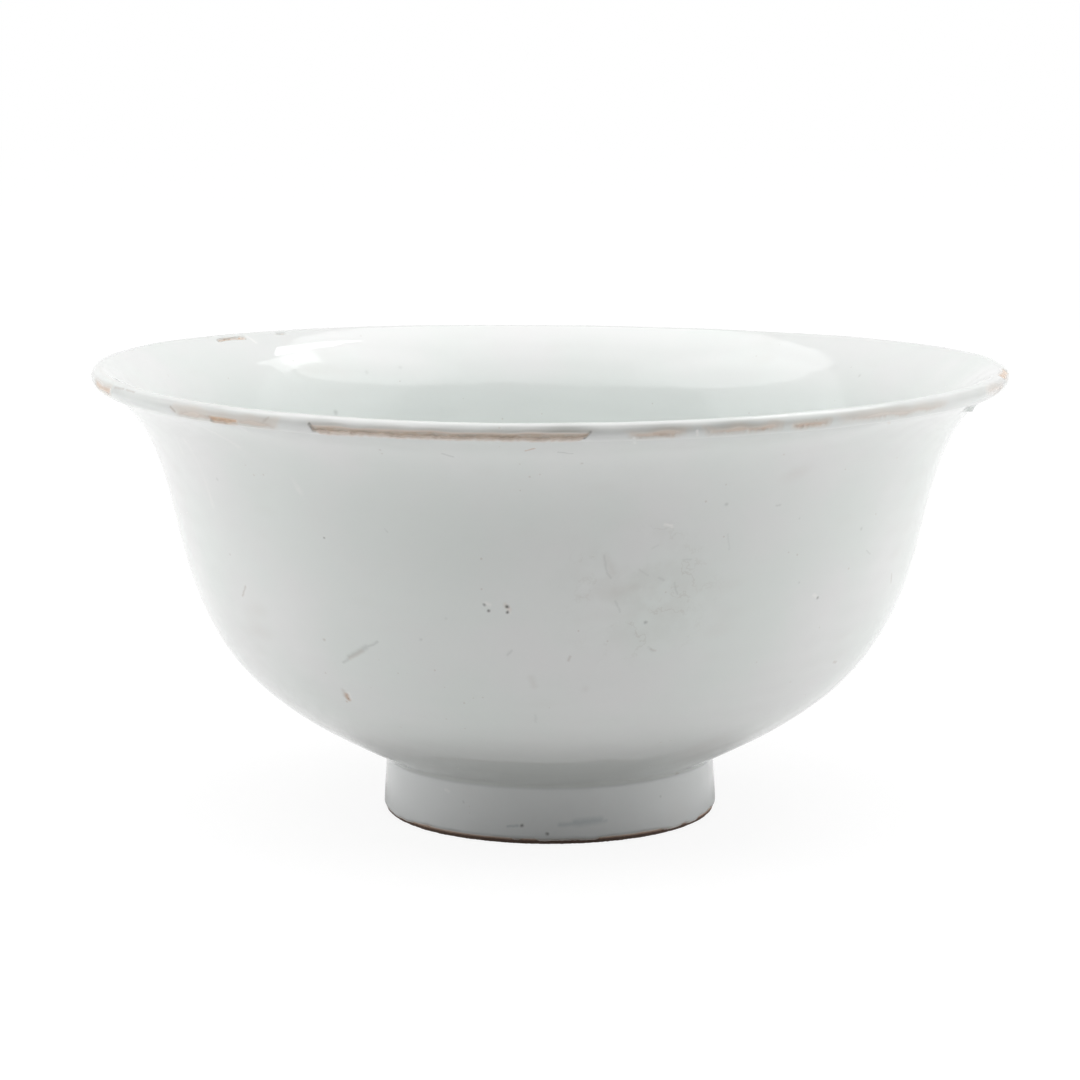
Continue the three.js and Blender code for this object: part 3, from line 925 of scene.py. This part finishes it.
def near_losses(theta):
    """Four times as many columns over the flakes as elsewhere."""
    dense = np.ones_like(theta)
    for begin, end, *_ in LOSSES.values():
        dense[(theta > math.radians(begin - 1)) & (theta < math.radians(end + 1))] = 4
    return dense


def on_outer_lip(s):
    return np.where((over_lip(s) > 1.5) & (over_lip(s) < 6.3), 2.5, 1.0)


def near_crease(s):
    return 1 + 4 * np.exp(-((s - crease_line) / 3) ** 2)


OVERRUN = 0.6      # mm that the coats of the foot reach past their glaze lines, since the lines waver
NEAR_LIP = 6.0     # mm below the lip, on the inside, that need closer rows, since a chip is there
FINE, COARSE = full_turn(1440), full_turn(720)

lip_rows = crowded(LIP_FROM, LIP_TO, 30, on_outer_lip)
outside_rows = crowded(crease_line, LIP_FROM, 118, near_crease)
inside_rows = np.concatenate([np.linspace(LIP_TO, LIP_TO + NEAR_LIP, 13)[:-1],
                              np.linspace(LIP_TO + NEAR_LIP, AXIS_ABOVE, 104)])
foot_rows = crowded(outer_line - OVERRUN, crease_line, 44, near_crease)
recess_rows = np.linspace(AXIS_BELOW, inner_line + OVERRUN, 84)

coat("glaze_lip", lip_rows, np.linspace(LIP_FROM, LIP_TO, 4),
     crowded(-math.pi, math.pi, 2801, near_losses)[:-1], "lip_glaze", "lip")
coat("glaze_outside", outside_rows, np.linspace(crease_line, LIP_FROM, 16), COARSE,
     "outside_glaze", "outside")
coat("glaze_inside", inside_rows, np.linspace(LIP_TO, AXIS_ABOVE, 18), COARSE, "inside_glaze", "inside")
coat("glaze_foot", foot_rows, np.linspace(outer_line - OVERRUN, crease_line, 6), FINE,
     "foot_glaze", "outside")
coat("glaze_recess", recess_rows, np.linspace(AXIS_BELOW, inner_line + OVERRUN, 20), COARSE,
     "recess_glaze", "recess")

# %% [markdown]
# The clay is hidden but for the flakes and the foot's bare edge, yet it is whole. The bowl was thrown
# first, then the ring was thrown apart and luted under it. Slip filled the joint and was wiped into a small
# fillet on either side, so the slip piece is that bed with its two fillets, and the ring's top corners are
# buried in it.

# %% Clay and slip
def corner(point, toward, theta):
    """One row of points at a fixed radius and height, with a normal leaning toward (r, z)."""
    places = [np.stack([r * np.cos(theta), r * np.sin(theta), np.full_like(theta, z)], -1)[None]
              for r, z in (point, unit(np.array(toward)))]
    return places[0], places[1]


def clay_piece(name, bands, stations, theta, material, slot, node):
    """Bands of clay closed into one shell, with the tan, rust, dirt and painted shade of the lip on it."""
    points, normals, faces, used = shell(bands)
    s, turn = np.array(stations)[:, None], theta[None, :]
    make_piece(name, points, normals, faces, material, slot, node, tan=tanned(s, turn).reshape(-1)[used],
               rust=rusted(s, turn).reshape(-1)[used], grime=grimed(s, turn).reshape(-1)[used])


bowl_turn = crowded(-math.pi, math.pi, 1401, near_losses)[:-1]
under_floor = np.linspace(AXIS_BELOW, ends["dome"], 10)
over_seat = np.concatenate([
    np.linspace(ends["crease"], LIP_FROM, 16)[:-1], crowded(LIP_FROM, LIP_TO, 26, on_outer_lip),
    np.linspace(LIP_TO, LIP_TO + NEAR_LIP, 6)[1:], np.linspace(LIP_TO + NEAR_LIP, AXIS_ABOVE, 15)[1:]])
clay_piece("clay_bowl", [band(under_floor, bowl_turn, clay_lift), band(over_seat, bowl_turn, clay_lift)],
           [*under_floor, *over_seat], bowl_turn, bowl_clay, "biscuit_clay", "thrown_body")

ring_rows = np.linspace(ends["recess corner"], ends["outer wall"], 64)
inner_fillet = np.linspace(ends["dome"], ends["recess corner"], 6)
outer_fillet = np.linspace(ends["outer wall"], ends["crease"], 6)
top_inner, top_outer = (corner(place - [0, SLIP], (0, 1), FINE) for place in (seat_inner, seat_outer))
clay_piece("clay_ring", [top_inner, band(ring_rows, FINE, clay_lift), top_outer],
           [0, *ring_rows, 0], FINE, ring_clay, "biscuit_clay", "foot_ring")
clay_piece("slip_bed", [band(inner_fillet, FINE, clay_lift), top_inner, top_outer,
                        band(outer_fillet, FINE, clay_lift)],
           [*inner_fillet, 0, 0, *outer_fillet], FINE, slip_clay, "fired_slip", "luting_slip")

# %% [markdown]
# ## Floor and light
#
# The ground is white to the camera and to reflections, a little less so under the bowl, where its shadow
# lies, and the glaze mirrors the shaded ground by the foot darker still. To diffuse light the ground is
# only pale, and darker close to the bowl as a painted shadow, so that the lamps shape the bowl.
#
# Glaze shows a lamp twice, as light on its white body and as an image in its gloss, and a studio keeps the
# two apart with flags and screens. So a lamp here lights, shows or does both. Two overhead and four low
# ones at the sides only light. A wide white ceiling only shows, and the back of the inside mirrors it as a
# pale band. The soft boxes at the left and right do both, and so do the small window and the pane beside it
# that make the bright patch inside.

# %% Floor and surroundings
FLOOR_HALF, FLOOR_DROP = 4.0, 0.0002  # metres from the middle to an edge, and metres below the foot


def seen_or_mirrored(finish):
    """1 for camera, glossy and transmission rays, 0 for the rays that carry diffuse light."""
    kinds = ("Is Camera Ray", "Is Glossy Ray", "Is Transmission Ray")
    seen, mirrored, through = (finish.node("LightPath", output=kind) for kind in kinds)
    return seen.larger(mirrored).larger(through)


ground = Finish(bpy.data.materials.new("studio floor"))
from_middle = ground.place().from_point((0, 0, 0))
# Painted shadow: for diffuse light the floor is mid grey within 0.06 m of the middle, pale from 0.16 m.
floor_tone_and_painted_shadow = ground.blend(from_middle.step(0.06, 0.16), (0.5, 0.5, 0.5), (0.84, 0.84, 0.84))
lit = ground.node("BsdfDiffuse", None, {"Color": floor_tone_and_painted_shadow})
faint = ground.node("BsdfDiffuse", None, {"Color": (0.12, 0.12, 0.12, 1)})
mirrored = ground.node("LightPath", output="Is Glossy Ray")
shade = 0.1 * from_middle.step(0.25, 0.04) + 0.5 * from_middle.step(0.076, 0.047) * mirrored
glow = ground.node("Emission", None, {"Strength": 1.0 - shade})
shown = ground.node("AddShader", None, {0: faint, 1: glow})
ground.node("OutputMaterial", None,
            {"Surface": ground.node("MixShader", None, {0: seen_or_mirrored(ground), 1: lit, 2: shown})})
floor_mesh = bpy.data.meshes.new("floor")
corners = [(x * FLOOR_HALF, y * FLOOR_HALF, -FLOOR_DROP) for x, y in ((-1, -1), (1, -1), (1, 1), (-1, 1))]
floor_mesh.from_pydata(corners, [], [(0, 1, 2, 3)])
floor_mesh.materials.append(ground.owner)
floor = put("floor", floor_mesh)
floor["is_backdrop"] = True

sky = Finish(bpy.data.worlds.new("white surroundings"))
white = sky.node("Background", None, {"Color": (1, 1, 1, 1), "Strength": seen_or_mirrored(sky)})
sky.node("OutputWorld", None, {"Surface": white})
bpy.context.scene.world = sky.owner

# %% Lamps
# Columns: shape, azimuth, elevation, distance, width, height in metres, watts, what it does
LAMPS = {
    "round, overhead": ("ELLIPSE", 180, 87, 1.0, 1.8, 1.8, 5.3, "lights"),
    "wide, overhead in front": ("RECTANGLE", 0, 74, 1.0, 1.6, 0.8, 5.4, "lights"),
    "white ceiling": ("ELLIPSE", 0, 90, 1.0, 2.08, 1.68, 11.2, "shows"),
    "window behind the right": ("RECTANGLE", 130, 49.5, 1.0, 0.27, 0.20, 0.31, "both"),
    "pane beside it": ("RECTANGLE", 149, 53, 1.0, 0.12, 0.18, 0.28, "both"),
    "left side": ("RECTANGLE", -90, 45, 1.3, 1.2, 1.2, 3.6, "both"),
    "right side": ("RECTANGLE", 90, 45, 1.3, 1.2, 1.2, 2.9, "both"),
    "low left, a little behind": ("RECTANGLE", -100, 6, 1.2, 0.8, 0.5, 4.4, "lights"),
    "low right, a little behind": ("RECTANGLE", 100, 6, 1.2, 0.8, 0.5, 4.7, "lights"),
    "low left, in front": ("RECTANGLE", -60, 4, 1.3, 0.8, 0.4, 2.0, "lights"),
    "low right, in front": ("RECTANGLE", 60, 4, 1.3, 0.8, 0.4, 2.0, "lights"),
}
BOWL_MIDDLE = Vector((0, 0, 0.08))


def light(name, shape, azimuth, elevation, distance, width, height, watts, does):
    """A soft box that faces the bowl. Azimuth is from the front towards the right, elevation above the floor.
    One that only lights isn't mirrored in the glaze, and one that only shows lights nothing."""
    a, e = math.radians(azimuth), math.radians(elevation)
    away = Vector((math.sin(a) * math.cos(e), -math.cos(a) * math.cos(e), math.sin(e)))
    lamp = bpy.data.lights.new(name, "AREA")
    lamp.shape, lamp.size, lamp.size_y, lamp.energy = shape, width, height, watts
    box = put(name, lamp)
    box.location = BOWL_MIDDLE + away * distance
    box.rotation_euler = away.to_track_quat("Z", "Y").to_euler()
    box.visible_glossy, box.visible_diffuse = does != "lights", does != "shows"


for name, place in LAMPS.items():
    light(name, *place)
print("lamps:", ", ".join(LAMPS))

# %% Measure
seen_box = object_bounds()
print("frame and render, mm:", [[round(v / MM, 2) for v in c] for c in (*cad_box, *seen_box)])
